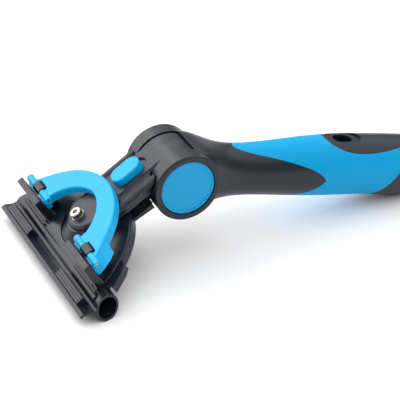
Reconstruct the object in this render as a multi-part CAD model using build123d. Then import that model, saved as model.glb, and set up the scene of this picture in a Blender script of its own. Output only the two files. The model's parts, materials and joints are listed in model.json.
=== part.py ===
from build123d import *
import math
import os

# Hand squeegee handle with a tilting, swivelling clamp head.
# Millimetres. Each piece is drawn in one of two local frames that share the hinge centre:
#   handle frame: +X runs along the grip to its rear end, +Z is up from its top line
#   head frame:   -X runs along the neck to the front lip, +Z is square to the neck's top
# "reach" is a distance in front of the hinge, measured along the neck (reach = -X in the head frame).

# ---- running gaps -------------------------------------------------------------------------------
RUN = 0.05            # radial gap of a turning or sliding fit
SEAT = 0.02           # gap of a piece that is seated and stays put
FREE = 0.3            # gap between faces that only pass each other
LINE = 0.9            # visible parting gap between the moulded housings
NOTCH = 0.6           # gap between the lever and the knuckles that carry it

# ---- hinge --------------------------------------------------------------------------------------
EAR_R = 21.0          # outer radius of the round ears
EAR_OUT = 21.9        # half width over the ears
EAR_IN = 11.5         # half width of the fork between the ears
BARREL_R = 20.2       # knuckle of the neck
BARREL_HALF = EAR_IN - LINE
FORK_R = BARREL_R + LINE
BUTTON_R = 17.0       # round angle buttons
BUTTON_RECESS = 0.5   # how far a button sits below the ear's rim
BUTTON_THICK = 1.9
BUTTON_TRAVEL = 3.2
BUTTON_FACE = EAR_OUT - BUTTON_RECESS
BUTTON_POCKET_FLOOR = BUTTON_FACE - BUTTON_THICK - BUTTON_TRAVEL - FREE
BUTTON_DISH = 0.35    # depth of the shallow dish in the button's face
POST_R = 1.5
POST_CIRCLE = 9.1
POSTS = 3
AXLE_R = 4.0
AXLE_HALF = BUTTON_POCKET_FLOOR - RUN
BUSH_WALL = 1.0
HUB_R = 6.8
RING_IN = HUB_R + FREE
RING_OUT = 11.0
RING_THICK = 5.0
RING_BITE = 2.1       # how deep the lock ring sits in the ear at rest
RING_FACE = EAR_IN + RING_BITE
CAVITY_R = RING_OUT + FREE
HUB_WEB = 1.5         # half thickness of the web inside the knuckle
SPRING_WIRE_R = 0.5
SPRING_TURNS = 3

# ---- rest position ------------------------------------------------------------------------------
BEND = 43.9           # angle between neck and grip, 0 is straight

# ---- grip ---------------------------------------------------------------------------------------
GRIP_END = 170.0      # hinge centre to the rear face
SHELL = 2.0           # thickness of the soft overmould
OVAL_POINTS = 24
# reach from the hinge, top, bottom, half width and squareness (2 is an ellipse) of the sections
GRIP_SECTIONS = [
    (4.5, 21.3, 17.0, 20.8, 4.0),
    (12.0, 20.6, 17.0, 20.3, 3.6),
    (20.0, 18.6, 16.8, 18.8, 3.0),
    (28.0, 16.7, 16.4, 16.8, 2.5),
    (38.0, 15.7, 16.1, 15.4, 2.2),
    (54.0, 16.0, 16.6, 15.6, 2.0),
    (75.0, 17.4, 17.9, 16.8, 2.0),
    (98.0, 19.0, 19.1, 18.2, 2.0),
    (120.0, 19.3, 19.6, 18.7, 2.0),
    (142.0, 18.6, 20.6, 18.6, 2.0),
    (158.0, 17.9, 21.7, 18.4, 2.0),
    (GRIP_END, 17.2, 19.8, 17.6, 2.0),
]
# edges of the soft overmould in side view, as (reach, height) from the hinge
BLUE_LOWER_EDGE = [(62.0, -17.6), (82.8, -13.6), (93.4, -7.4), (97.8, -1.8)]
BLUE_UPPER_EDGE = [(97.8, -1.8), (93.5, 2.4), (83.9, 6.6), (64.6, 11.2), (36.5, 15.9)]
BLUE_SADDLE_EDGE = [(101.0, 18.9), (107.9, 15.8), (124.7, 13.2), (147.0, 14.2), (161.0, 16.0)]
BLUE_REAR_EDGE = [(161.0, 16.0), (153.0, 3.5), (146.0, -7.0), (134.0, -20.6)]
BLUE_CLEAR = 40.0        # height that is well clear of the grip
POLE_BORE_R = 11.0
POLE_BORE_DEPTH = 64.0
HOLE_REACH = 115.0    # oval hole on top of the grip
HOLE_LONG = 13.0
HOLE_WIDE = 9.5
DISH_LONG = 25.0
DISH_WIDE = 17.0
DISH_DEPTH = 1.6
WINDOW_ANGLE = 77.3   # rear edge of the fork window, from the grip's axis
FORK_BOTTOM_ANGLE = 245.0

# ---- neck ---------------------------------------------------------------------------------------
NECK_TOP = BARREL_R
NECK_CUT_R = EAR_R + LINE
BEAM_BOTTOM = 11.4
BEAM_END = 42.0
BEAM_HALF = 16.8
RAIL_R = 2.9          # round rail along each side of the neck
RAIL_SIDE = 15.6
RAIL_UP = 16.4
FLAT_HALF = 9.5       # half width of the neck's flat top
TONGUE_HALF = 14.2
TONGUE_END = 66.7
TONGUE_ROUND = 2.4    # rounding of the front's top edge
PLATE_TOP = 3.6       # lower strap of the clevis
PLATE_THICK = 1.5
PLATE_END = 66.0
PLATE_DROP = 1.8      # extra depth of the lower strap at its rear
THROAT_BACK = 24.0
WEB_HALF = 9.0

# ---- swivel -------------------------------------------------------------------------------------
SCREW_REACH = 59.0
SCREW_R = 2.0         # M4
SCREW_HEAD_R = 3.5
SCREW_HEAD_TALL = 3.4
HEX_ACROSS = 3.0
HEX_DEPTH = 2.0
WASHER_R = 3.9
WASHER_THICK = 0.6
NUT_ACROSS = 7.0
NUT_TALL = 3.2
SWIVEL_BUSH_R = 4.0
GLIDE_R = 13.0        # plastic glide washers above and below the head plate
GLIDE_THICK = 0.9
SWIVEL = 30.0         # swivel to each side

# ---- slide lock ---------------------------------------------------------------------------------
SLIDE_FRONT = 31.0
SLIDE_REAR = 11.0
SLIDE_HALF = 6.0
SLIDE_TOP = 24.8
SLIDE_TRAVEL = 3.0
SLIDE_SINK = 1.4      # depth of the button's track in the neck's top
STEM_HALF = 2.4
BAR_HALF = 4.0
BAR_LOW = 12.4
BAR_HIGH = 16.4
HUB_RING_R = 16.0     # round wall in the head plate that the lock shoe grips
RECESS_R = HUB_RING_R + 0.1
BOSS_R = HUB_RING_R - FREE
BOSS_TOP = 13.4       # round foot of the neck's front, and the cone that blends it in
CONE_TOP = 17.0
CONE_R = 9.5
SHOE_THICK = 3.0
SHOE_HALF_ANGLE = 12.0
SHOE_LOW = 5.0

# ---- head ---------------------------------------------------------------------------------------
HEAD_HALF = 63.9
LIP_REACH = 93.6
TUBE_REACH = 78.8
TUBE_UP = 4.8
TUBE_R = 7.6
TUBE_BORE_R = 6.2
TUBE_HALF = 58.9        # half length of the tube behind its bevelled ends
PLATE_LOW = 4.0       # head plate, underside and top
PLATE_HIGH = 10.4
PLATE_WALL = 2.4
DISC_REACH = 83.7     # centre and radius of the plate's round rear edge
DISC_R = 51.2
DECK_HIGH = 13.0
DECK_REAR = 64.8
DECK_HALF = 56.0
RAMP_HIGH = 15.0      # middle ramp between the trough and the round recess
RAMP_HALF = 22.0
# front grip segments, as (reach, height)
SEGMENT_OUTLINE = [(90.8, 14.0), (90.0, 16.6), (85.6, 17.0), (85.2, 10.2), (90.0, 12.0)]
SEGMENT_END = 55.5
RIB_FRONT = 78.8      # two upright ribs behind each segment's bead
RIB_PITCH = 2.0
RIB_WIDE = 0.9
RIB_TALL = 1.5
RIB_STEP = 1.1
# upper side of the lip and trough, front to rear, then their underside, rear to front
TROUGH_TOP = [(LIP_REACH, 14.3), (91.0, 14.6), (87.6, 11.8), (85.4, 10.6), (83.2, 10.5), (81.0, 11.6)]
TROUGH_UNDERSIDE = [(87.2, 9.4), (91.0, 12.6), (92.5, 12.9), (LIP_REACH - 0.2, 11.9)]
RAMP_RISE = [(79.0, 12.8), (76.0, 13.2), (72.6, 14.0), (69.0, 14.7)]
BEAD_REACH = 80.4     # round bead along the rear of the trough
BEAD_UP = 10.2
BEAD_R = 3.0
TAB_OUTLINE = [(56.0, 38.0), (56.0, 46.8), (60.0, 50.8), (69.6, 56.4), (69.6, 38.0)]
TAB_TALL = 5.0

# ---- clamp lever and jaws -----------------------------------------------------------------------
PIVOT_REACH = 67.3
PIVOT_UP = 25.4
LEVER_TOP = 26.3
LEVER_LOW = 20.9
FOOT_TOP = 25.2       # height at which the flared flank meets the leg
FOOT_INNER = 40.0
FOOT_TOP_EDGE = [(56.0, 40.3), (60.0, 43.1), (65.0, 46.5), (70.0, 49.9)]     # (reach, side)
FOOT_LOW_EDGE = [(56.0, 45.2), (60.5, 48.8), (65.5, 51.0), (70.0, 52.4)]
LEG_LOW = 19.0
LEG_CLEAR_R = 40.0
HUB_CYL_R = 2.3
PIN_R = 0.9
HUB_IN = 22.0         # inner and outer ends of the lever's round hubs
HUB_OUT = 52.5
KNUCKLE_IN = 33.0
KNUCKLE_OUT = 41.8
KNUCKLE_REAR = 63.7
KNUCKLE_FRONT = 69.7
KNUCKLE_TOP = 28.0
JAW_REAR = 71.0
JAW_FRONT = 75.0
JAW_IN = 22.5
JAW_OUT = 53.5
JAW_TOP = 29.5
JAW_TRAVEL = 0.8
JAW_FOOT_LOW = 8.0
JAW_FOOT_HALF_LONG = 12.0


# ---- small drawing helpers ----------------------------------------------------------------------
def rod_y(x, z, radius, y0, y1):
    """Round bar along Y."""
    return Solid.make_cylinder(radius, y1 - y0, Plane(origin=(x, y0, z), z_dir=(0, 1, 0)))


def rod_z(x, y, radius, z0, z1):
    """Round bar along Z."""
    return Solid.make_cylinder(radius, z1 - z0, Plane(origin=(x, y, z0)))


def block(x0, x1, y0, y1, z0, z1):
    """Box between two corners."""
    return Solid.make_box(x1 - x0, y1 - y0, z1 - z0, Plane(origin=(x0, y0, z0)))


def ahead(r0, r1, y0, y1, z0, z1):
    """Box in the head frame, between two reaches."""
    return block(-r1, -r0, y0, y1, z0, z1)


def side_prism(points, y0, y1):
    """Straight-edged outline in the XZ plane, drawn out along Y."""
    wire = Wire.make_polygon([(x, y0, z) for x, z in points], close=True)
    return Solid.extrude(Face(wire), Vector(0, y1 - y0, 0))


def side_solid(edges, y0, y1):
    """Closed chain of edges in the XZ plane at y0, drawn out along Y."""
    return Solid.extrude(Face(Wire(edges)), Vector(0, y1 - y0, 0))


def plan_solid(edges, height):
    """Closed chain of edges in an XY plane, drawn up by height."""
    return Solid.extrude(Face(Wire(edges)), Vector(0, 0, height))


def stadium(x0, x1, half, z0, z1):
    """Flat-sided block with round ends, along X."""
    body = block(x0 + half, x1 - half, -half, half, z0, z1)
    return body + rod_z(x0 + half, 0, half, z0, z1) + rod_z(x1 - half, 0, half, z0, z1)


def flip(shape):
    """The same piece on the other side of the middle plane."""
    return mirror(shape, about=Plane.XZ)


def both(shape):
    return shape + flip(shape)


def ring_y(inner, outer, y0, y1):
    return rod_y(0, 0, outer, y0, y1) - rod_y(0, 0, inner, y0, y1)


def sector(x, z0, z1, r0, r1, half_angle):
    """Piece of a ring about a vertical axis at x, facing the hinge (+X)."""
    def at(radius, degrees):
        turn = math.radians(degrees)
        return (x + radius * math.cos(turn), radius * math.sin(turn), z0)

    edges = [
        Line(at(r0, -half_angle), at(r1, -half_angle)),
        ThreePointArc(at(r1, -half_angle), at(r1, 0), at(r1, half_angle)),
        Line(at(r1, half_angle), at(r0, half_angle)),
        ThreePointArc(at(r0, half_angle), at(r0, 0), at(r0, -half_angle)),
    ]
    return plan_solid(edges, z1 - z0)


def soften(shape, edges, radius):
    """Rounds the chosen edges."""
    return shape.fillet(radius, ShapeList(edges))


# ---- grip ---------------------------------------------------------------------------------------
def oval(reach, centre, tall, half, squareness):
    """Closed section of the grip: an ellipse, or a squarer oval where it meets the ears.
    It starts at the bottom, so that the form's seam stays clear of the hang hole."""
    points = []
    for number in range(OVAL_POINTS):
        turn = 2 * math.pi * number / OVAL_POINTS + math.pi
        across, up = math.sin(turn), math.cos(turn)
        y = math.copysign(abs(across) ** (2 / squareness), across)
        z = math.copysign(abs(up) ** (2 / squareness), up)
        points.append((reach, half * y, centre + tall * z))
    return Face(Wire([Spline(*points, periodic=True)]))


def grip_form(inset):
    """Outer form of the grip, or the same form inset all round."""
    faces = [
        oval(reach, (top - bottom) / 2, (top + bottom) / 2 - inset, half - inset, squareness)
        for reach, top, bottom, half, squareness in GRIP_SECTIONS
    ]
    return Solid(loft(faces).wrapped)


def blue_zone():
    """Side view of the area that the soft overmould covers."""
    wide = 2 * EAR_OUT

    def line_through(points):
        return Spline(*[(reach, -wide, up) for reach, up in points])

    def clear(point, height):
        return (point[0], -wide, height)

    lower, upper = line_through(BLUE_LOWER_EDGE), line_through(BLUE_UPPER_EDGE)
    saddle, rear = line_through(BLUE_SADDLE_EDGE), line_through(BLUE_REAR_EDGE)
    front_high, saddle_start = BLUE_UPPER_EDGE[-1], BLUE_SADDLE_EDGE[0]
    rear_low, front_low = BLUE_REAR_EDGE[-1], BLUE_LOWER_EDGE[0]
    edges = [
        lower,
        upper,
        Line(upper @ 1, clear(front_high, BLUE_CLEAR)),
        Line(clear(front_high, BLUE_CLEAR), clear(saddle_start, BLUE_CLEAR)),
        Line(clear(saddle_start, BLUE_CLEAR), saddle @ 0),
        saddle,
        rear,
        Line(rear @ 1, clear(rear_low, -BLUE_CLEAR)),
        Line(clear(rear_low, -BLUE_CLEAR), clear(front_low, -BLUE_CLEAR)),
        Line(clear(front_low, -BLUE_CLEAR), lower @ 0),
    ]
    return side_solid(edges, -wide, wide)


def hang_hole():
    """Oval hole in the top of the grip, through to the pole bore, in a shallow dish."""
    hole = stadium(HOLE_REACH - HOLE_LONG / 2, HOLE_REACH + HOLE_LONG / 2, HOLE_WIDE / 2, 0, 30)
    dish_face = Ellipse(DISH_LONG / 2, DISH_WIDE / 2)
    floor_z = GRIP_SECTIONS[8][1] - DISH_DEPTH
    dish = extrude(Pos(HOLE_REACH, 0, floor_z) * dish_face, amount=6)
    return hole + Solid(dish.solid().wrapped)


def fork_cut():
    """Room for the knuckle between the ears, open to the front."""
    span = 40.0
    front_top = math.radians(WINDOW_ANGLE)
    front_low = math.radians(FORK_BOTTOM_ANGLE)
    points = [
        (0, 0),
        (span * math.cos(front_top), span * math.sin(front_top)),
        (-span, span),
        (-span, -span),
        (span * math.cos(front_low), span * math.sin(front_low)),
    ]
    mouth = side_prism(points, -EAR_IN, EAR_IN)
    return mouth + rod_y(0, 0, FORK_R, -EAR_IN, EAR_IN)


def ear():
    """One round ear with the pocket of its button, on the +Y side."""
    disc = rod_y(0, 0, EAR_R, EAR_IN, EAR_OUT)
    rim = [e for e in disc.edges().filter_by(GeomType.CIRCLE) if e.center().Y > EAR_OUT - 0.1]
    return soften(disc, rim, 1.0)


def ear_hollow():
    """What is taken out of an ear: button pocket, lock ring seat, axle bore, post holes."""
    pocket = rod_y(0, 0, BUTTON_R + FREE, BUTTON_POCKET_FLOOR, EAR_OUT + 1)
    seat = ring_y(HUB_R - FREE, CAVITY_R, EAR_IN - 1, EAR_IN + RING_BITE + FREE)
    hollow = pocket + seat + rod_y(0, 0, AXLE_R, 0, EAR_OUT)
    for number in range(POSTS):
        turn = 2 * math.pi * number / POSTS
        x, z = POST_CIRCLE * math.cos(turn), POST_CIRCLE * math.sin(turn)
        hollow += rod_y(x, z, POST_R + FREE, EAR_IN, EAR_OUT)
    return hollow


def make_handle_core(blue):
    body = grip_form(0) + both(ear()) - fork_cut()
    end_edges = [e for e in body.edges() if e.center().X > GRIP_END - 0.5]
    body = soften(body, end_edges, 2.5)
    body -= both(ear_hollow())
    bore = Plane(origin=(GRIP_END - POLE_BORE_DEPTH, 0, 0), z_dir=(1, 0, 0))
    body -= Solid.make_cylinder(POLE_BORE_R, POLE_BORE_DEPTH + 1, bore)
    body -= hang_hole()
    return body - blue


def make_grip_overmould():
    shell = grip_form(0) - grip_form(SHELL)
    return (shell & blue_zone()) - hang_hole()


def make_hinge_axle():
    axle = rod_y(0, 0, AXLE_R - SEAT, -AXLE_HALF, AXLE_HALF)
    ends = axle.edges().filter_by(GeomType.CIRCLE)
    return axle.chamfer(0.5, None, ends)


# ---- angle buttons ------------------------------------------------------------------------------
def make_angle_button():
    """Round push button with the three posts that reach the lock ring, +Y side."""
    disc = rod_y(0, 0, BUTTON_R, BUTTON_FACE - BUTTON_THICK, BUTTON_FACE)
    rim = [e for e in disc.edges().filter_by(GeomType.CIRCLE) if e.center().Y > BUTTON_FACE - 0.1]
    disc = soften(disc, rim, 0.5)
    disc -= rod_y(0, 0, BUTTON_R - 1.6, BUTTON_FACE - BUTTON_DISH, BUTTON_FACE + 1)
    for number in range(POSTS):
        turn = 2 * math.pi * number / POSTS
        x, z = POST_CIRCLE * math.cos(turn), POST_CIRCLE * math.sin(turn)
        disc += rod_y(x, z, POST_R, RING_FACE, BUTTON_FACE - BUTTON_THICK / 2)
    return disc


def make_lock_ring():
    return ring_y(RING_IN, RING_OUT, RING_FACE - RING_THICK, RING_FACE)


def make_button_spring():
    """Coil spring behind the lock ring, +Y side."""
    low = HUB_WEB + SPRING_WIRE_R + SEAT
    high = RING_FACE - RING_THICK - SPRING_WIRE_R - SEAT
    radius = (HUB_R + CAVITY_R) / 2
    path = Helix(pitch=(high - low) / SPRING_TURNS, height=high - low, radius=radius)
    start = Plane(origin=path @ 0, z_dir=path % 0)
    coil = sweep(start * Circle(SPRING_WIRE_R), path=path)
    placed = Pos(0, low, 0) * Rot(-90, 0, 0) * coil
    return Solid(placed.solid().wrapped)


def make_axle_bush():
    """Flangeless bush in the knuckle's hub, +Y side."""
    outer = AXLE_R + BUSH_WALL
    return ring_y(AXLE_R + RUN, outer, HUB_WEB, BARREL_HALF - FREE)


# ---- neck ---------------------------------------------------------------------------------------
def beam_section():
    """Half outline of the neck across its width, as points and arcs at X = 0."""
    rail_top = (0, RAIL_SIDE, RAIL_UP + RAIL_R)
    rail_out = (0, RAIL_SIDE + RAIL_R, RAIL_UP)
    rail_in = (0, RAIL_SIDE - RAIL_R * 0.8, RAIL_UP + RAIL_R * 0.6)
    return [
        Line((0, 0, BEAM_BOTTOM), (0, BEAM_HALF, BEAM_BOTTOM)),
        Line((0, BEAM_HALF, BEAM_BOTTOM), (0, BEAM_HALF, BEAM_BOTTOM + 1.2)),
        Line((0, BEAM_HALF, BEAM_BOTTOM + 1.2), rail_out),
        ThreePointArc(rail_out, (0, RAIL_SIDE + RAIL_R * 0.7071, RAIL_UP + RAIL_R * 0.7071), rail_top),
        ThreePointArc(rail_top, (0, RAIL_SIDE - RAIL_R * 0.4472, RAIL_UP + RAIL_R * 0.8944), rail_in),
        ThreePointArc(rail_in, (0, 11.3, NECK_TOP - 1.7), (0, FLAT_HALF, NECK_TOP)),
        Line((0, FLAT_HALF, NECK_TOP), (0, 0, NECK_TOP)),
        Line((0, 0, NECK_TOP), (0, 0, BEAM_BOTTOM)),
    ]


def beam():
    half = Solid.extrude(Face(Wire(beam_section())), Vector(-BEAM_END, 0, 0))
    return both(half)


def tongue():
    """Flat front of the neck with its round end."""
    body = ahead(BEAM_END - 6, TONGUE_END - TONGUE_HALF, -TONGUE_HALF, TONGUE_HALF, BEAM_BOTTOM, NECK_TOP)
    body += rod_z(-(TONGUE_END - TONGUE_HALF), 0, TONGUE_HALF, BEAM_BOTTOM, NECK_TOP)
    rim = [
        e
        for e in body.edges()
        if e.center().Z > NECK_TOP - 0.1 and e.center().X < -(BEAM_END - 5)
    ]
    return soften(body, rim, TONGUE_ROUND)


def boss():
    """Round foot of the neck about the screw, which fills the recess in the head."""
    foot = rod_z(-SCREW_REACH, 0, BOSS_R, BEAM_BOTTOM, BOSS_TOP)
    at = Plane(origin=(-SCREW_REACH, 0, BOSS_TOP))
    return foot + Solid.make_cone(BOSS_R, CONE_R, CONE_TOP - BOSS_TOP, at)


def lower_strap():
    """Thin strap under the head plate, deeper towards the hinge."""
    low = PLATE_TOP - PLATE_THICK
    points = [
        (-EAR_R, PLATE_TOP),
        (-PLATE_END, PLATE_TOP),
        (-PLATE_END, low),
        (-38, low),
        (-EAR_R, low - PLATE_DROP),
    ]
    strap = side_prism(points, -RAIL_SIDE, RAIL_SIDE)
    round_end = rod_z(-(PLATE_END - RAIL_SIDE), 0, RAIL_SIDE, low - PLATE_DROP, PLATE_TOP)
    return strap & (round_end + ahead(0, PLATE_END - RAIL_SIDE, -RAIL_SIDE, RAIL_SIDE, -10, 10))


def slide_track():
    """Track of the slide button and its bar."""
    track = stadium(
        -SLIDE_FRONT - FREE,
        -SLIDE_REAR + SLIDE_TRAVEL + FREE,
        SLIDE_HALF + FREE,
        NECK_TOP - SLIDE_SINK,
        NECK_TOP + 1,
    )
    slot = ahead(
        SLIDE_REAR - SLIDE_TRAVEL + 4,
        SLIDE_FRONT - 4 + FREE,
        -STEM_HALF - FREE,
        STEM_HALF + FREE,
        BAR_HIGH,
        NECK_TOP,
    )
    shoe_front = SCREW_REACH - HUB_RING_R
    channel = ahead(
        SLIDE_REAR, shoe_front + FREE, -BAR_HALF - FREE, BAR_HALF + FREE, BEAM_BOTTOM - 1, BAR_HIGH + FREE
    )
    return track + slot + channel


def make_neck():
    wall = ahead(0, THROAT_BACK, -WEB_HALF, WEB_HALF, PLATE_TOP - PLATE_THICK, NECK_TOP)
    body = beam() + tongue() + boss() + lower_strap() + wall
    outside = rod_y(0, 0, NECK_CUT_R, BARREL_HALF, 40)
    body -= both(outside)
    body -= block(-60, 60, -40, 40, -60, 60) & side_prism([(0, 0), (60, 0), (60, 60), (0, 60)], -40, 40)
    body += rod_y(0, 0, BARREL_R, -BARREL_HALF, BARREL_HALF)
    cavity = ring_y(HUB_R, CAVITY_R, HUB_WEB, BARREL_HALF + 1)
    bore = rod_y(0, 0, AXLE_R + BUSH_WALL + SEAT, HUB_WEB, BARREL_HALF + 1)
    body -= both(cavity + bore)
    body -= rod_y(0, 0, AXLE_R + FREE, -HUB_WEB, HUB_WEB)
    body -= slide_track()
    body -= rod_z(-SCREW_REACH, 0, SCREW_R + SEAT, -10, 40)
    return body


# ---- swivel -------------------------------------------------------------------------------------
WASHER_TOP = NECK_TOP + WASHER_THICK
STRAP_LOW = PLATE_TOP - PLATE_THICK


def make_swivel_screw():
    x = -SCREW_REACH
    head = rod_z(x, 0, SCREW_HEAD_R, WASHER_TOP, WASHER_TOP + SCREW_HEAD_TALL)
    rims = [e for e in head.edges().filter_by(GeomType.CIRCLE) if e.center().Z > WASHER_TOP + 1]
    head = soften(head, rims, 0.7)
    socket_floor = WASHER_TOP + SCREW_HEAD_TALL - HEX_DEPTH
    key = Pos(x, 0, socket_floor) * RegularPolygon(HEX_ACROSS / 2, 6, major_radius=False)
    head -= Solid(extrude(key, amount=HEX_DEPTH + 1).solid().wrapped)
    shank = rod_z(x, 0, SCREW_R, STRAP_LOW - NUT_TALL - 0.8, WASHER_TOP + 0.2)
    return head + shank


def make_screw_washer():
    x = -SCREW_REACH
    return rod_z(x, 0, WASHER_R, NECK_TOP, WASHER_TOP) - rod_z(x, 0, SCREW_R + SEAT, 0, 40)


def make_swivel_nut():
    x = -SCREW_REACH
    hexagon = Pos(x, 0, STRAP_LOW - NUT_TALL) * RegularPolygon(NUT_ACROSS / 2, 6, major_radius=False)
    nut = Solid(extrude(hexagon, amount=NUT_TALL).solid().wrapped)
    return nut - rod_z(x, 0, SCREW_R + SEAT, -20, 20)


def make_swivel_bush():
    x = -SCREW_REACH
    sleeve = rod_z(x, 0, SWIVEL_BUSH_R, PLATE_TOP, BEAM_BOTTOM)
    return sleeve - rod_z(x, 0, SCREW_R + SEAT, 0, 40)


def make_glide_washer(low, high):
    x = -SCREW_REACH
    return rod_z(x, 0, GLIDE_R, low, high) - rod_z(x, 0, SWIVEL_BUSH_R + SEAT, low - 1, high + 1)


# ---- slide lock ---------------------------------------------------------------------------------
def make_lock_button():
    low = NECK_TOP - SLIDE_SINK + FREE / 3
    button = stadium(-SLIDE_FRONT, -SLIDE_REAR, SLIDE_HALF, low, SLIDE_TOP)
    rim = [e for e in button.edges() if e.center().Z > SLIDE_TOP - 0.1]
    button = soften(button, rim, 0.9)
    stem = ahead(SLIDE_REAR + 4, SLIDE_FRONT - 4, -STEM_HALF, STEM_HALF, BAR_HIGH, low + 1)
    return button + stem


def make_lock_slider():
    """Bar under the button, with the shoe that grips the head plate's round wall."""
    x = -SCREW_REACH
    shoe = sector(x, SHOE_LOW, BAR_HIGH, HUB_RING_R + RUN, HUB_RING_R + SHOE_THICK, SHOE_HALF_ANGLE)
    bar = ahead(
        SLIDE_REAR + SLIDE_TRAVEL + 1,
        SCREW_REACH - HUB_RING_R - 1.5,
        -BAR_HALF,
        BAR_HALF,
        BAR_LOW,
        BAR_HIGH,
    )
    return bar + shoe


# ---- head ---------------------------------------------------------------------------------------
def channel_sheet():
    """Lip, trough and tube along the whole front of the head."""
    top = TROUGH_TOP + [(TUBE_REACH, TUBE_UP + TUBE_R)]
    outline = top + [(TUBE_REACH, TUBE_UP), (TUBE_REACH + TUBE_R, TUBE_UP)] + TROUGH_UNDERSIDE
    sheet = side_prism([(-r, z) for r, z in outline], -HEAD_HALF, HEAD_HALF)
    return sheet + rod_y(-TUBE_REACH, TUBE_UP, TUBE_R, -HEAD_HALF, HEAD_HALF)


def end_trim():
    """Plan outline of the front: the tube's ends are cut back from the lip's."""
    points = [(-LIP_REACH - 2, HEAD_HALF), (-84.5, HEAD_HALF), (-70.0, TUBE_HALF), (20, TUBE_HALF)]
    outline = points + [(x, -y) for x, y in reversed(points)]
    wire = Wire.make_polygon([(x, y, -30) for x, y in outline], close=True)
    return Solid.extrude(Face(wire), Vector(0, 0, 90))


def head_plate():
    """Round-backed plate that swivels in the neck's clevis, hollow underneath."""
    x = -DISC_REACH
    front = ahead(TUBE_REACH - 4, TUBE_REACH + DISC_R, -80, 80, -5, 40)
    disc = rod_z(x, 0, DISC_R, PLATE_LOW, PLATE_HIGH) - front
    rim_edges = [e for e in disc.edges().filter_by(GeomType.CIRCLE) if e.center().Z > PLATE_HIGH - 0.1]
    disc = soften(disc, rim_edges, 1.0)
    hollow = rod_z(x, 0, DISC_R - PLATE_WALL, PLATE_LOW - 1, PLATE_HIGH - PLATE_WALL)
    hollow -= ahead(DECK_REAR - 2, TUBE_REACH + DISC_R, -80, 80, -5, 40)
    hollow -= rod_z(-SCREW_REACH, 0, HUB_RING_R, -5, 40)
    hollow -= sector(-SCREW_REACH, -5, 40, HUB_RING_R - 1, 30, SWIVEL + SHOE_HALF_ANGLE + 10)
    return disc - hollow


def head_deck():
    """Raised deck behind the trough, with the middle ramp and the side tabs."""
    deck = ahead(DECK_REAR, TUBE_REACH + 1, -DECK_HALF, DECK_HALF, PLATE_LOW, DECK_HIGH)
    reach = math.sqrt(DISC_R**2 - (DISC_REACH - DECK_REAR) ** 2)
    corner = side_prism(
        [(-DECK_REAR, PLATE_LOW), (-TUBE_REACH, PLATE_LOW), (-TUBE_REACH, DECK_HIGH), (-DECK_REAR, DECK_HIGH)],
        -reach,
        reach,
    )
    rise = [(-reach, height) for reach, height in RAMP_RISE]
    ramp = side_prism(
        [(-BEAD_REACH, PLATE_HIGH - 1)] + rise + [(-DECK_REAR, RAMP_HIGH), (-DECK_REAR, PLATE_LOW)],
        -RAMP_HALF,
        RAMP_HALF,
    )
    return (deck & corner) + ramp


def side_tab():
    """Low tab on the plate's edge under each lever foot, +Y side."""
    wire = Wire.make_polygon([(-reach, side, PLATE_LOW) for reach, side in TAB_OUTLINE], close=True)
    return Solid.extrude(Face(wire), Vector(0, 0, TAB_TALL))


def front_segments():
    """Clamping bar behind the lip, and the bead and ribs behind the trough, +Y side."""
    bar = side_prism([(-r, z) for r, z in SEGMENT_OUTLINE], RAMP_HALF + 1, SEGMENT_END)
    body = bar + rod_y(-BEAD_REACH, BEAD_UP, BEAD_R, 0, SEGMENT_END + 2)
    for reach, tall in ((RIB_FRONT, RIB_TALL), (RIB_FRONT - RIB_PITCH, RIB_TALL + RIB_STEP)):
        body += ahead(reach - RIB_WIDE, reach, RAMP_HALF + 1, SEGMENT_END, PLATE_HIGH - 1, DECK_HIGH + tall)
    return body


def knuckle():
    """Dark post that carries one side of the lever, +Y side."""
    post = ahead(KNUCKLE_REAR, KNUCKLE_FRONT, KNUCKLE_IN, KNUCKLE_OUT, PLATE_HIGH - 2, KNUCKLE_TOP)
    tops = [e for e in post.edges().filter_by(Axis.Y) if e.center().Z > KNUCKLE_TOP - 0.1]
    post = post.fillet(2.0, tops)
    return post - rod_y(-PIVOT_REACH, PIVOT_UP, PIN_R + RUN, 0, HEAD_HALF)


def jaw_slot():
    """Slot in the deck for the foot of one jaw, +Y side."""
    middle = (JAW_IN + JAW_OUT) / 2
    return ahead(
        JAW_REAR + 0.6 - JAW_TRAVEL - FREE,
        JAW_FRONT - 0.6 + FREE,
        middle - JAW_FOOT_HALF_LONG - FREE,
        middle + JAW_FOOT_HALF_LONG + FREE,
        JAW_FOOT_LOW - FREE,
        DECK_HIGH + 5,
    )


def make_head_base():
    body = channel_sheet() + head_plate() + head_deck() + both(side_tab()) + both(front_segments())
    body += both(knuckle())
    body -= rod_z(-SCREW_REACH, 0, RECESS_R, PLATE_HIGH, 40)
    window = HUB_RING_R + SHOE_THICK + SLIDE_TRAVEL + 0.8
    body -= sector(
        -SCREW_REACH, -5, 40, HUB_RING_R, window, SWIVEL + SHOE_HALF_ANGLE + 0.6
    )
    body -= rod_z(-SCREW_REACH, 0, SWIVEL_BUSH_R + RUN, -5, 40)
    glide_seat = PLATE_TOP + GLIDE_THICK + 2 * RUN
    body -= rod_z(-SCREW_REACH, 0, GLIDE_R + FREE, -5, glide_seat)
    body -= both(jaw_slot())
    body -= rod_y(-TUBE_REACH, TUBE_UP, TUBE_BORE_R, -HEAD_HALF - 1, HEAD_HALF + 1)
    return body & end_trim()


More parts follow.
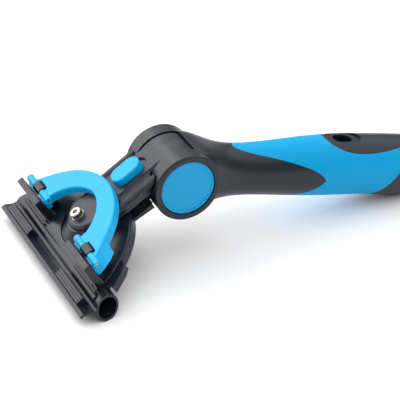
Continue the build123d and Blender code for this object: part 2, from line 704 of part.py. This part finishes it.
# ---- lever and jaws -----------------------------------------------------------------------------
def lever_plan():
    """Half plan of the horseshoe, as a closed chain of edges at the lever's underside."""
    z = LEG_LOW

    def at(reach, side):
        return (-reach, side, z)

    outer_apex, outer_mid, outer_leg = at(33.0, 0), at(45.0, 30.6), at(63.0, 45.1)
    outer_end = at(70.0, 50.0)
    inner_apex, inner_mid = at(43.8, 0), at(55.0, 19.9)
    inner_leg, inner_end = at(65.0, 24.4), at(70.0, 24.6)
    return [
        ThreePointArc(outer_apex, at(36.6, 17.0), outer_mid),
        Spline(outer_mid, at(50.0, 35.4), at(55.0, 39.4), outer_leg),
        Line(outer_leg, outer_end),
        Line(outer_end, inner_end),
        Line(inner_end, inner_leg),
        Spline(inner_leg, at(60.0, 22.9), inner_mid),
        ThreePointArc(inner_mid, at(47.6, 11.9), inner_apex),
        Line(inner_apex, outer_apex),
    ]


def lever_foot():
    """Flared flank at the outer side of one leg, wider at its foot, +Y side."""
    def outline(edge, height):
        outer = [(-reach, side, height) for reach, side in edge]
        front, rear = outer[-1], outer[0]
        inner = [(front[0], FOOT_INNER, height), (rear[0], FOOT_INNER - 4, height)]
        return Wire.make_polygon(outer + inner, close=True)

    return Solid.make_loft([outline(FOOT_LOW_EDGE, LEG_LOW), outline(FOOT_TOP_EDGE, FOOT_TOP)], True)


def make_clamp_lever():
    half = plan_solid(lever_plan(), LEVER_TOP - LEG_LOW)
    arch = both(half)
    rims = [
        e
        for e in arch.edges()
        if e.center().Z > LEVER_TOP - 0.1 and e.center().X > -(PIVOT_REACH - 2)
    ]
    arch = soften(arch, rims, 1.1)
    arch -= rod_z(-SCREW_REACH, 0, LEG_CLEAR_R, LEG_LOW - 1, LEVER_LOW)
    hub = rod_y(-PIVOT_REACH, PIVOT_UP, HUB_CYL_R, HUB_IN, HUB_OUT)
    lobe = ahead(PIVOT_REACH, JAW_REAR - FREE, HUB_IN + HUB_CYL_R, HUB_OUT - 1, LEG_LOW, PIVOT_UP - 2)
    body = arch + both(hub + lobe + lever_foot())
    notch_in, notch_out = KNUCKLE_IN - NOTCH, KNUCKLE_OUT + NOTCH
    notch = ahead(KNUCKLE_REAR - NOTCH, JAW_REAR + 3, notch_in, notch_out, LEG_LOW - 2, LEVER_TOP + 5)
    body -= both(notch)
    return body - both(rod_y(-PIVOT_REACH, PIVOT_UP, PIN_R + SEAT, 0, HEAD_HALF))


def make_lever_pin():
    pin = rod_y(-PIVOT_REACH, PIVOT_UP, PIN_R, HUB_IN + 0.4, HUB_OUT - 0.4)
    return pin.chamfer(0.3, None, pin.edges().filter_by(GeomType.CIRCLE))


def make_clamp_jaw():
    """Upright jaw with a foot in the deck, +Y side."""
    jaw = ahead(JAW_REAR, JAW_FRONT, JAW_IN, JAW_OUT, DECK_HIGH + RUN, JAW_TOP)
    tops = [e for e in jaw.edges() if e.center().Z > JAW_TOP - 0.1]
    jaw = soften(jaw, tops, 0.9)
    middle = (JAW_IN + JAW_OUT) / 2
    foot = ahead(
        JAW_REAR + 0.6,
        JAW_FRONT - 0.6,
        middle - JAW_FOOT_HALF_LONG,
        middle + JAW_FOOT_HALF_LONG,
        JAW_FOOT_LOW,
        DECK_HIGH + 2,
    )
    return jaw + foot


# ---- assembly -----------------------------------------------------------------------------------
def rest_slopes():
    """Slopes of the grip and the neck, and the hinge's height, with the head's tube and the
    rear of the grip standing on one table."""
    form = grip_form(0)

    def grip_depth(slope):
        return -(Rot(0, slope, 0) * form).bounding_box().min.Z

    def tube_depth(slope):
        dip = math.radians(BEND - slope)
        return TUBE_REACH * math.sin(dip) - TUBE_UP * math.cos(dip) + TUBE_R

    low, high = 0.0, BEND
    for _ in range(24):
        slope = (low + high) / 2
        if grip_depth(slope) < tube_depth(slope):
            low = slope
        else:
            high = slope
    return slope, BEND - slope, tube_depth(slope)


def handle_pieces():
    overmould = make_grip_overmould()
    ring, button, spring = make_lock_ring(), make_angle_button(), make_button_spring()
    return {
        "handle_core": make_handle_core(overmould),
        "grip_overmould": overmould,
        "hinge_axle": make_hinge_axle(),
        "angle_button_far": button,
        "angle_button_near": flip(button),
        "lock_ring_far": ring,
        "lock_ring_near": flip(ring),
        "button_spring_far": spring,
        "button_spring_near": flip(spring),
    }


def head_pieces():
    bush, pin, jaw = make_axle_bush(), make_lever_pin(), make_clamp_jaw()
    glide_low = PLATE_TOP + RUN
    glide_high = PLATE_HIGH + RUN
    return {
        "neck": make_neck(),
        "axle_bush_far": bush,
        "axle_bush_near": flip(bush),
        "swivel_screw": make_swivel_screw(),
        "swivel_screw_washer": make_screw_washer(),
        "swivel_nut": make_swivel_nut(),
        "swivel_bush": make_swivel_bush(),
        "glide_washer_lower": make_glide_washer(glide_low, glide_low + GLIDE_THICK),
        "glide_washer_upper": make_glide_washer(glide_high, glide_high + GLIDE_THICK),
        "lock_button": make_lock_button(),
        "lock_slider": make_lock_slider(),
        "head_base": make_head_base(),
        "clamp_lever": make_clamp_lever(),
        "lever_pin_far": pin,
        "lever_pin_near": flip(pin),
        "clamp_jaw_far": jaw,
        "clamp_jaw_near": flip(jaw),
    }


def build():
    slope, dip, height = rest_slopes()
    handle_at = Pos(0, 0, height) * Rot(0, slope, 0)
    head_at = Pos(0, 0, height) * Rot(0, -dip, 0)
    placed = {name: handle_at * piece for name, piece in handle_pieces().items()}
    placed.update({name: head_at * piece for name, piece in head_pieces().items()})
    boxes = [piece.bounding_box() for piece in placed.values()]
    hinge_x = -(min(box.min.X for box in boxes) + max(box.max.X for box in boxes)) / 2
    print("grip slope", slope, "neck dip", dip, "hinge X", hinge_x, "hinge Z", height)
    return {name: Pos(hinge_x, 0, 0) * piece for name, piece in placed.items()}


os.makedirs("parts", exist_ok=True)
for name, piece in build().items():
    export_step(piece, f"parts/{name}.step")
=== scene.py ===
import json
import math

import bmesh
import bpy
from mathutils import Matrix, Vector


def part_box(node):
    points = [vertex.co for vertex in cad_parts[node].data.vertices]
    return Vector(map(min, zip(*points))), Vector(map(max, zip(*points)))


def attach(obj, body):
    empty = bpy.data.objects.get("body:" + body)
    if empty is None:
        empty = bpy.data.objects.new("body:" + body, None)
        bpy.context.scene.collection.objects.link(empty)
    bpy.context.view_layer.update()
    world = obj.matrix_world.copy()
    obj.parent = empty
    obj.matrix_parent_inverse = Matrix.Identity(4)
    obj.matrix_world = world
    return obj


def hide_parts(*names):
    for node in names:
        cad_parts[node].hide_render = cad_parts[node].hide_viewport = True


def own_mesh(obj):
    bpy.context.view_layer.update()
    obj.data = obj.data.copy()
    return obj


# Hand squeegee handle: a two-colour grip, a tilting neck, and a swivelling clamp head.
# Everything is in metres, in the CAD frame. MM turns a size in millimetres into metres.
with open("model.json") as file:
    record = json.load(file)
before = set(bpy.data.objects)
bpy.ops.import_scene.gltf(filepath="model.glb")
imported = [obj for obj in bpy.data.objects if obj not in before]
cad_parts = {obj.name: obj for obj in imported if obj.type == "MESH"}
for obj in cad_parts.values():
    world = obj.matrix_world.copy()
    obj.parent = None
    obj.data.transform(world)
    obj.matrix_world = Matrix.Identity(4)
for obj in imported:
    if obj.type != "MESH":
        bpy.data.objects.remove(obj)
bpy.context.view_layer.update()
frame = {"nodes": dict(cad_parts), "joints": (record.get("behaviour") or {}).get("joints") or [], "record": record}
RECORD = frame["record"]
NODES = frame["nodes"]
MM = 0.001


def joint(name):
    """One joint of the frame by its name."""
    return next(j for j in frame["joints"] if j["name"] == name)


def mount(name):
    """One mount of the record by its name."""
    return next(m for m in RECORD["mounts"] if m["name"] == name)


HINGE = Vector(joint("head_tilt")["pos_m"])
GRIP_BACK = Vector(mount("pole_socket")["axis"])
NECK_BACK = Vector(joint("swivel_lock_slide")["axis"])
NECK_UP = Vector((-NECK_BACK.z, 0, NECK_BACK.x))


def on_head(reach, side, up):
    """A point in the head's own directions, in mm: reach forward of the hinge, side, height."""
    return HINGE + (NECK_UP * up - NECK_BACK * reach + Vector((0, side, 0))) * MM


# ---- shader maths ------------------------------------------------------------------------------
class Socket:
    """A shader value that takes part in Python expressions."""

    def __init__(self, material, link):
        self.material, self.link = material, link

    def maths(self, operation, *values):
        """One Math node on the given values."""
        return self.material.node("ShaderNodeMath", {"operation": operation}, *values)

    def __add__(self, other):
        return self.maths("ADD", self, other)

    def __sub__(self, other):
        return self.maths("SUBTRACT", self, other)

    def __rsub__(self, other):
        return self.maths("SUBTRACT", other, self)

    def __mul__(self, other):
        return self.maths("MULTIPLY", self, other)

    __radd__ = __add__
    __rmul__ = __mul__

    def clamp(self):
        """The value kept between 0 and 1."""
        return self.maths("MINIMUM", self.maths("MAXIMUM", self, 0.0), 1.0)


class Finish:
    """A material and the one way its nodes are made."""

    def __init__(self, name, **fixed):
        self.data = bpy.data.materials.new(name)
        self.data.use_nodes = True
        self.tree = self.data.node_tree
        self.shader = self.tree.nodes["Principled BSDF"]
        for socket, value in fixed.items():
            self.shader.inputs[socket.replace("_", " ")].default_value = value
        self.place = self.node("ShaderNodeTexCoord", {}, output="Object")

    def node(self, kind, settings, *values, output=0, **named):
        """A node with its settings, then its inputs in order or by name; one output is handed on."""
        made = self.tree.nodes.new(kind)
        for key, value in settings.items():
            setattr(made, key, value)
        for number, value in enumerate(values):
            self.put(made.inputs[number], value)
        for socket, value in named.items():
            self.put(made.inputs[socket.replace("_", " ")], value)
        return Socket(self, made.outputs[output])

    def put(self, target, value):
        """Links a shader value to an input, or sets a plain value on it."""
        if isinstance(value, Socket):
            self.tree.links.new(value.link, target)
        else:
            target.default_value = value

    def drive(self, socket, value):
        """Sets one input of the surface's own shader."""
        self.put(self.shader.inputs[socket], value)

    def noise(self, scale, detail, roughness, place=None):
        """Cloudy noise, 0 to 1, on the piece's own coordinates unless a place is given."""
        place = place or self.place
        return self.node(
            "ShaderNodeTexNoise", {}, Vector=place, Scale=scale, Detail=detail, Roughness=roughness
        )

    def mix(self, factor, low, high):
        """A colour between two colours. A Mix node keeps its colour sockets at these places."""
        made = self.node("ShaderNodeMix", {"data_type": "RGBA"}, factor, output=2)
        colours = made.link.node.inputs
        self.put(colours[6], low)
        self.put(colours[7], high)
        return made

    def stretched(self, scale):
        """The piece's own coordinates, scaled apart along each axis."""
        return self.node("ShaderNodeMapping", {}, Vector=self.place, Scale=scale)

    def bump(self, height, strength, distance):
        """Fine relief that only bends the light."""
        normal = self.node("ShaderNodeBump", {}, Strength=strength, Distance=distance, Height=height)
        self.drive("Normal", normal)


def colour(red, green, blue):
    """An sRGB colour, 0 to 255, as linear values."""
    def linear(value):
        value /= 255
        return value / 12.92 if value <= 0.04045 else ((value + 0.055) / 1.055) ** 2.4

    return (linear(red), linear(green), linear(blue), 1.0)


# ---- finishes ----------------------------------------------------------------------------------
# How often each pattern repeats in a metre, roughly.
FINE_GRAIN, HAND_WEAR, FLOW_MARKS, RUBBED_PATCHES = 3200.0, 260.0, 70.0, 150.0
RUBBER_PEBBLE, RUBBER_CLOUD = 1500.0, 45.0
ORANGE_PEEL, PLASTIC_CLOUD = 900.0, 60.0
STEEL_STAIN, WIRE_MARKS = 600.0, 4000.0
SCRATCH_STRETCH = (420.0, 2400.0, 420.0)
TURNING_STRETCH = (900.0, 900.0, 9000.0)
# Where each pattern begins to show, on its scale from 0 to 1.
POLISH_START, HANDLED_START, SCRATCH_START, RUBBED_START = 0.52, 0.35, 0.46, 0.44
SCUFF_EDGE = 7.0     # how sharply a scuff ends
# How deep the bumps are, in metres.
MOULD_DEPTH, SKIN_DEPTH, TURNING_DEPTH = 0.00012, 0.0001, 0.00005


def moulded_plastic(name, base, worn, roughness=0.34, grain=0.10, scuffs=0.0):
    """Moulded plastic with fine grain, faint flow marks, handling polish and, if asked for, scuffs."""
    finish = Finish(name, Specular_IOR_Level=0.4)
    grain_noise = finish.noise(FINE_GRAIN, detail=3.0, roughness=0.6)
    flow = finish.noise(FLOW_MARKS, detail=4.0, roughness=0.55)
    wear = finish.noise(HAND_WEAR, detail=5.0, roughness=0.7)
    worn_mask = ((flow - POLISH_START) * 5.0 * (wear - HANDLED_START) * 2.0).clamp()
    shade = worn_mask * 0.5 + grain_noise * 0.1
    gloss = flow * 0.12 + grain_noise * 0.06 + (roughness - 0.09) - worn_mask * 0.08
    if scuffs:
        lengthwise = finish.stretched(SCRATCH_STRETCH)
        scratches = finish.noise(1.0, detail=5.0, roughness=0.7, place=lengthwise)
        patches = finish.noise(RUBBED_PATCHES, detail=3.0, roughness=0.5)
        scratched = ((scratches - SCRATCH_START) * SCUFF_EDGE).clamp()
        rubbed = scratched * ((patches - RUBBED_START) * SCUFF_EDGE).clamp() * scuffs
        shade = (shade + rubbed).clamp()
        gloss = gloss + rubbed * 0.2
    finish.drive("Base Color", finish.mix(shade, base, worn))
    finish.drive("Roughness", gloss)
    finish.bump(grain_noise + wear * 0.4, strength=grain, distance=MOULD_DEPTH)
    return finish.data


def soft_rubber(name, base, dusty):
    """Satin overmoulded rubber with a fine pebbled skin."""
    finish = Finish(name, Specular_IOR_Level=0.14)
    pebble = finish.node(
        "ShaderNodeTexVoronoi", {"feature": "F1"}, Vector=finish.place, Scale=RUBBER_PEBBLE
    )
    cloud = finish.noise(RUBBER_CLOUD, detail=4.0, roughness=0.5)
    finish.drive("Base Color", finish.mix((cloud * 0.7 + pebble * 0.2).clamp() * 0.35, base, dusty))
    finish.drive("Roughness", cloud * 0.14 + pebble * 0.08 + 0.40)
    finish.bump(pebble * 0.6 + cloud * 0.2, strength=0.10, distance=SKIN_DEPTH)
    return finish.data


def gloss_plastic(name, base, light, roughness):
    """Satin gloss moulding with a faint orange-peel skin."""
    finish = Finish(name, Specular_IOR_Level=0.28)
    peel = finish.noise(ORANGE_PEEL, detail=2.0, roughness=0.5)
    cloud = finish.noise(PLASTIC_CLOUD, detail=3.0, roughness=0.5)
    finish.drive("Base Color", finish.mix(cloud * 0.5, base, light))
    finish.drive("Roughness", peel * 0.08 + cloud * 0.08 + (roughness - 0.08))
    finish.bump(peel, strength=0.06, distance=SKIN_DEPTH)
    return finish.data


def turned_steel(name, base, dark, roughness=0.26):
    """Stainless steel with fine turning marks round the screw's axis."""
    finish = Finish(name, Metallic=1.0)
    marks = finish.noise(1.0, detail=4.0, roughness=0.6, place=finish.stretched(TURNING_STRETCH))
    stain = finish.noise(STEEL_STAIN, detail=4.0, roughness=0.6)
    finish.drive("Base Color", finish.mix(stain, base, dark))
    finish.drive("Roughness", marks * 0.18 + stain * 0.1 + (roughness - 0.1))
    finish.bump(marks, strength=0.08, distance=TURNING_DEPTH)
    return finish.data


def drawn_wire(name):
    """Bright spring wire with fine drawing marks."""
    finish = Finish(name, Metallic=1.0)
    marks = finish.noise(WIRE_MARKS, detail=3.0, roughness=0.6)
    bright, dull = colour(150, 150, 150), colour(112, 112, 110)
    finish.drive("Base Color", finish.mix(marks, bright, dull))
    finish.drive("Roughness", marks * 0.15 + 0.25)
    return finish.data


CHARCOAL = moulded_plastic("charcoal_moulding", colour(21, 25, 38), colour(42, 47, 62))
CHARCOAL_SMOOTH = moulded_plastic(
    "smooth_charcoal_moulding", colour(20, 23, 33), colour(40, 44, 57), roughness=0.3, grain=0.06
)
CHARCOAL_SCUFFED = moulded_plastic(
    "scuffed_charcoal_moulding", colour(21, 25, 38), colour(66, 71, 84), scuffs=0.8
)
GRIP_BLUE = soft_rubber("blue_grip_rubber", colour(0, 155, 211), colour(10, 164, 219))
DISC_BLUE = gloss_plastic(
    "blue_button_plastic", colour(0, 156, 212), colour(6, 163, 218), roughness=0.42
)
LEVER_BLUE = gloss_plastic(
    "light_blue_lever_plastic", colour(0, 168, 226), colour(14, 176, 233), roughness=0.36
)
STAINLESS = turned_steel("turned_stainless", colour(205, 200, 190), colour(160, 152, 140))
WIRE = drawn_wire("drawn_spring_wire")
ACETAL = moulded_plastic(
    "white_acetal", colour(222, 219, 210), colour(236, 234, 228), roughness=0.38, grain=0.05
)

FINISH_OF_SLOT = {
    "charcoal_plastic": CHARCOAL,
    "jaw_plastic": CHARCOAL_SMOOTH,
    "grip_rubber": GRIP_BLUE,
    "button_plastic": DISC_BLUE,
    "lever_plastic": LEVER_BLUE,
    "stainless": STAINLESS,
    "spring_steel": WIRE,
    "inner_acetal": ACETAL,
}


def finish_cad_nodes():
    """Gives every CAD node the finish of its material slot, and the neck a scuffed one."""
    for part in RECORD["subparts"]:
        mesh = NODES[part["node"]].data
        mesh.materials.clear()
        scuffed = part["node"] == "neck"
        mesh.materials.append(CHARCOAL_SCUFFED if scuffed else FINISH_OF_SLOT[part["material_slot"]])


# ---- repeated details --------------------------------------------------------------------------
def real_mesh(holder):
    """The plain mesh that a curve or a piece with a modifier stands for."""
    bpy.context.view_layer.update()
    seen = holder.evaluated_get(bpy.context.evaluated_depsgraph_get())
    return bpy.data.meshes.new_from_object(seen)


class Pattern:
    """A geometry tree with named sizes that ends in one realised, finished mesh."""

    def __init__(self, name, sizes):
        self.tree = bpy.data.node_groups.new(name, "GeometryNodeTree")
        self.sockets = {}
        for size, kind in sizes.items():
            socket = self.tree.interface.new_socket(size, in_out="INPUT", socket_type=kind)
            self.sockets[size] = socket.identifier
        self.tree.interface.new_socket("Mesh", in_out="OUTPUT", socket_type="NodeSocketGeometry")
        self.inputs = self.tree.nodes.new("NodeGroupInput")

    def node(self, kind, settings, **values):
        """A node with its settings and inputs; text as an input names one of the tree's sizes."""
        made = self.tree.nodes.new(kind)
        for key, value in settings.items():
            setattr(made, key, value)
        for socket, value in values.items():
            target = made.inputs[socket.replace("_", " ")]
            if isinstance(value, str):
                self.tree.links.new(self.inputs.outputs[value], target)
            elif hasattr(value, "is_linked"):
                self.tree.links.new(value, target)
            else:
                target.default_value = value
        return made

    def finish_with(self, geometry, material):
        """Ends the tree: real geometry, flat shaded, in its material."""
        real = self.node("GeometryNodeRealizeInstances", {}, Geometry=geometry)
        flat = self.node(
            "GeometryNodeSetShadeSmooth", {}, Geometry=real.outputs[0], Shade_Smooth=False
        )
        done = self.node("GeometryNodeSetMaterial", {}, Geometry=flat.outputs[0], Material=material)
        end = self.tree.nodes.new("NodeGroupOutput")
        self.tree.links.new(done.outputs[0], end.inputs[0])

    def grow(self, name, placings, **values):
        """One mesh of the pattern at each placing, joined into a single piece at the origin."""
        holder = bpy.data.objects.new(name, bpy.data.meshes.new(name))
        bpy.context.collection.objects.link(holder)
        modifier = holder.modifiers.new("pattern", "NODES")
        modifier.node_group = self.tree
        for size, value in values.items():
            modifier[self.sockets[size.replace("_", " ")]] = value
        one = real_mesh(holder)
        holder.modifiers.remove(modifier)
        whole = bmesh.new()
        for placing in placings:
            copy = one.copy()
            copy.transform(placing)
            whole.from_mesh(copy)
        bmesh.ops.recalc_face_normals(whole, faces=whole.faces)
        whole.to_mesh(holder.data)
        whole.free()
        for material in one.materials:
            holder.data.materials.append(material)
        return holder


def rib_row(material):
    """Half-sunk round ribs side by side: they run along Y and are set out along X."""
    sizes = {
        "Count": "NodeSocketInt",
        "Pitch": "NodeSocketVector",
        "Radius": "NodeSocketFloat",
        "Length": "NodeSocketFloat",
    }
    row = Pattern("rib_row", sizes)
    line = row.node("GeometryNodeMeshLine", {"mode": "OFFSET"}, Count="Count", Offset="Pitch")
    rib = row.node(
        "GeometryNodeMeshCylinder", {}, Vertices=RIB_SIDES, Radius="Radius", Depth="Length"
    )
    placed = row.node(
        "GeometryNodeInstanceOnPoints",
        {},
        Points=line.outputs[0],
        Instance=rib.outputs[0],
        Rotation=(math.pi / 2, 0.0, 0.0),
    )
    row.finish_with(placed.outputs[0], material)
    return row


def tooth_ring(material):
    """Teeth round a circle in the XY plane, each one pointing outwards."""
    sizes = {"Count": "NodeSocketInt", "Radius": "NodeSocketFloat", "Tooth": "NodeSocketVector"}
    ring = Pattern("tooth_ring", sizes)
    circle = ring.node("GeometryNodeMeshCircle", {}, Vertices="Count", Radius="Radius")
    tooth = ring.node("GeometryNodeMeshCube", {}, Size="Tooth")
    place = ring.node("GeometryNodeInputPosition", {})
    outwards = ring.node(
        "FunctionNodeAlignRotationToVector", {"axis": "X"}, Vector=place.outputs[0]
    )
    placed = ring.node(
        "GeometryNodeInstanceOnPoints",
        {},
        Points=circle.outputs[0],
        Instance=tooth.outputs[0],
        Rotation=outwards.outputs[0],
    )
    ring.finish_with(placed.outputs[0], material)
    return ring


def set_in(back, side, up, middle):
    """A placing whose X, Y and Z run along the given directions, at the given middle."""
    turn = Matrix((back, side, up)).transposed().to_4x4()
    return Matrix.Translation(middle) @ turn


SIDEWAYS = Vector((0, 1, 0))
RIB_SIDES = 14
COIL_WIRE, COIL_TURNS, COIL_STEPS, COIL_ROUNDING = 0.48 * MM, 3, 28, 3
# The rest of these sizes are in mm, and places are in the head's own directions.
SEGMENT_RIB_REACH, SEGMENT_RIB_UP = 88.7, 16.74     # first rib on each front segment
SEGMENT_RIBS, SEGMENT_RIB_R, SEGMENT_RIB_PITCH, SEGMENT_RIB_RISE = 2, 0.28, 1.5, 0.12
SEGMENT_MIDDLE, SEGMENT_LONG = 39.2, 31.0
LEVER_TOP, LEVER_BACK, LEVER_FRONT = 26.3, 34.3, 43.3
PARTING_R, PARTING_SINK = 0.13, 0.05
SCREW_REACH, SCREW_HEAD_LOW, SCREW_HEAD_HIGH, SCREW_HEAD_R = 59.0, 20.8, 24.2, 3.5
KNURL_TEETH, KNURL_DEEP, KNURL_WIDE = 44, 0.16, 0.22
KNURL_START, KNURL_MARGIN = 0.3, 1.0     # above the head's underside, and short of its height


def front_ribs():
    """Two fine grip ribs along the top of each front segment."""
    row = rib_row(CHARCOAL)
    placings = [
        set_in(NECK_BACK, SIDEWAYS, NECK_UP, on_head(SEGMENT_RIB_REACH, side, SEGMENT_RIB_UP))
        for side in (-SEGMENT_MIDDLE, SEGMENT_MIDDLE)
    ]
    pitch = (SEGMENT_RIB_PITCH * MM, 0, SEGMENT_RIB_RISE * MM)
    sizes = {"Pitch": pitch, "Radius": SEGMENT_RIB_R * MM, "Length": SEGMENT_LONG * MM}
    ribs = row.grow("front_grip_ribs", placings, Count=SEGMENT_RIBS, **sizes)
    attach(ribs, "head")


def lever_parting_line():
    """The faint raised line that the mould's two halves leave across the lever's arch."""
    row = rib_row(LEVER_BLUE)
    middle = on_head((LEVER_BACK + LEVER_FRONT) / 2, 0, LEVER_TOP - PARTING_SINK)
    placing = set_in(SIDEWAYS, -NECK_BACK, NECK_UP, middle)
    length = (LEVER_FRONT - LEVER_BACK) * MM
    sizes = {"Count": 1, "Pitch": (0, 0, 0), "Radius": PARTING_R * MM, "Length": length}
    line = row.grow("lever_parting_line", [placing], **sizes)
    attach(line, "lever")


def button_coil(side):
    """A wound spring behind one button's lock ring; it keeps one length and does not close up as the button is
    pressed.
    """
    node, press = f"button_spring_{side}", f"{side}_button_press"
    low, high = (Vector(corner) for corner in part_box(node))
    middle, length = (low + high) / 2, high.y - low.y
    radius = (high.z - low.z) / 2 - COIL_WIRE
    outward = math.copysign(1.0, middle.y)
    wound = bpy.data.curves.new(node, "CURVE")
    wound.dimensions, wound.bevel_depth, wound.bevel_resolution = "3D", COIL_WIRE, COIL_ROUNDING
    wound.use_fill_caps = True
    spline = wound.splines.new("POLY")
    spline.points.add(COIL_TURNS * COIL_STEPS)
    for number, point in enumerate(spline.points):
        turn = 2 * math.pi * number / COIL_STEPS
        along = (number / (COIL_TURNS * COIL_STEPS) - 0.5) * (length - 2 * COIL_WIRE) * outward
        place = middle + Vector((radius * math.cos(turn), along, radius * math.sin(turn)))
        point.co = (*place, 1.0)
    holder = bpy.data.objects.new(node, wound)
    bpy.context.collection.objects.link(holder)
    coil = bpy.data.objects.new(f"button_coil_{side}", real_mesh(holder))
    bpy.data.objects.remove(holder)
    bpy.context.collection.objects.link(coil)
    coil.data.materials.clear()
    coil.data.materials.append(WIRE)
    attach(coil, "neck")
    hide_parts(node)
    travel = joint(press)["range_m"][1]
    (length - travel) / length
    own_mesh(coil)


def screw_knurl():
    """Knurling round the socket screw's head."""
    ring = tooth_ring(STAINLESS)
    tall = SCREW_HEAD_HIGH - SCREW_HEAD_LOW - KNURL_MARGIN
    middle = on_head(SCREW_REACH, 0, SCREW_HEAD_LOW + KNURL_START + tall / 2)
    placing = set_in(NECK_BACK, SIDEWAYS, NECK_UP, middle)
    tooth = (KNURL_DEEP * MM, KNURL_WIDE * MM, tall * MM)
    sizes = {"Count": KNURL_TEETH, "Radius": SCREW_HEAD_R * MM, "Tooth": tooth}
    knurl = ring.grow("screw_knurl", [placing], **sizes)
    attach(knurl, "neck")


# ---- stage -------------------------------------------------------------------------------------
VIEW_AZIMUTH = math.radians(-25.86)
VIEW_ELEVATION = math.radians(31.83)
VIEW_DISTANCE = 0.9496
VIEW_SHIFT = (0.01624, -0.01697)     # the camera's offset across and up from the line to the hinge
VIEW_GRIP_SLOPE = math.radians(11.9)     # the grip's slope where the two angles were taken
VIEW_LEAN = VIEW_GRIP_SLOPE - math.atan2(-GRIP_BACK.z, GRIP_BACK.x)
LENS, SENSOR = 144.3, 36.0
NEAREST, FARTHEST = 0.01, 50.0
WORLD_LIGHT = 0.3
SKY_LIGHTS = {     # where each light comes from, its spread in degrees and its power
    "key": ((-0.2, 0.75, 0.75), 30.0, 0.7),
    "window": ((-0.6, 0.77, 0.3), 34.0, 0.9),
    "overhead": ((0.0, 0.1, 1.0), 120.0, 3.0),
}
TABLE_HALF, TABLE_MOTTLE = 6.0, 30.0
TABLE_SHADES = ((0.93, 0.93, 0.93, 1), (0.95, 0.95, 0.95, 1))


def place_camera():
    """A long lens looking down at the handle from its near, front side."""
    camera = bpy.data.objects.new("camera", bpy.data.cameras.new("camera"))
    camera.data.lens, camera.data.sensor_width = LENS, SENSOR
    camera.data.clip_start, camera.data.clip_end = NEAREST, FARTHEST
    azimuth, elevation = VIEW_AZIMUTH, VIEW_ELEVATION
    lean = Matrix.Rotation(-VIEW_LEAN, 3, "Y")
    across = math.cos(elevation)
    level = Vector((math.sin(azimuth) * across, -math.cos(azimuth) * across, 0))
    back = lean @ (level + Vector((0, 0, math.sin(elevation))))
    right = lean @ Vector((math.cos(azimuth), math.sin(azimuth), 0))
    up = back.cross(right)
    place = HINGE + back * VIEW_DISTANCE + right * VIEW_SHIFT[0] + up * VIEW_SHIFT[1]
    turn = Matrix((right, up, back)).transposed().to_4x4()
    camera.matrix_world = Matrix.Translation(place) @ turn
    bpy.context.collection.objects.link(camera)
    bpy.context.scene.camera = camera


def sky_light(name, towards, spread, power):
    """A distant soft light that comes from one side of the sky; spread is its size in degrees."""
    light = bpy.data.lights.new(name, "SUN")
    light.angle, light.energy = math.radians(spread), power
    lamp = bpy.data.objects.new(name, light)
    lamp.rotation_mode = "QUATERNION"
    lamp.rotation_quaternion = Vector(towards).to_track_quat("Z", "Y")
    bpy.context.collection.objects.link(lamp)


def lay_floor():
    """The white table that the handle stands on."""
    mesh = bpy.data.meshes.new("floor")
    half = TABLE_HALF
    corners = [(-half, -half, 0), (half, -half, 0), (half, half, 0), (-half, half, 0)]
    mesh.from_pydata(corners, [], [(0, 1, 2, 3)])
    floor = bpy.data.objects.new("floor", mesh)
    bpy.context.collection.objects.link(floor)
    finish = Finish("white_table", Roughness=0.9, Specular_IOR_Level=0.1)
    mottle = finish.noise(TABLE_MOTTLE, detail=2.0, roughness=0.5)
    finish.drive("Base Color", finish.mix(mottle, *TABLE_SHADES))
    mesh.materials.append(finish.data)


def light_stage():
    """Even white surroundings and the soft lights of a studio."""
    world = bpy.data.worlds.new("studio")
    world.use_nodes = True
    world.node_tree.nodes["Background"].inputs["Color"].default_value = (1, 1, 1, 1)
    world.node_tree.nodes["Background"].inputs["Strength"].default_value = WORLD_LIGHT
    bpy.context.scene.world = world
    for name, (towards, spread, power) in SKY_LIGHTS.items():
        sky_light(name, towards, spread, power)
    bpy.context.scene.view_settings.view_transform = "Standard"


finish_cad_nodes()
front_ribs()
lever_parting_line()
screw_knurl()
for button_side in ("far", "near"):
    button_coil(button_side)
place_camera()
lay_floor()
light_stage()
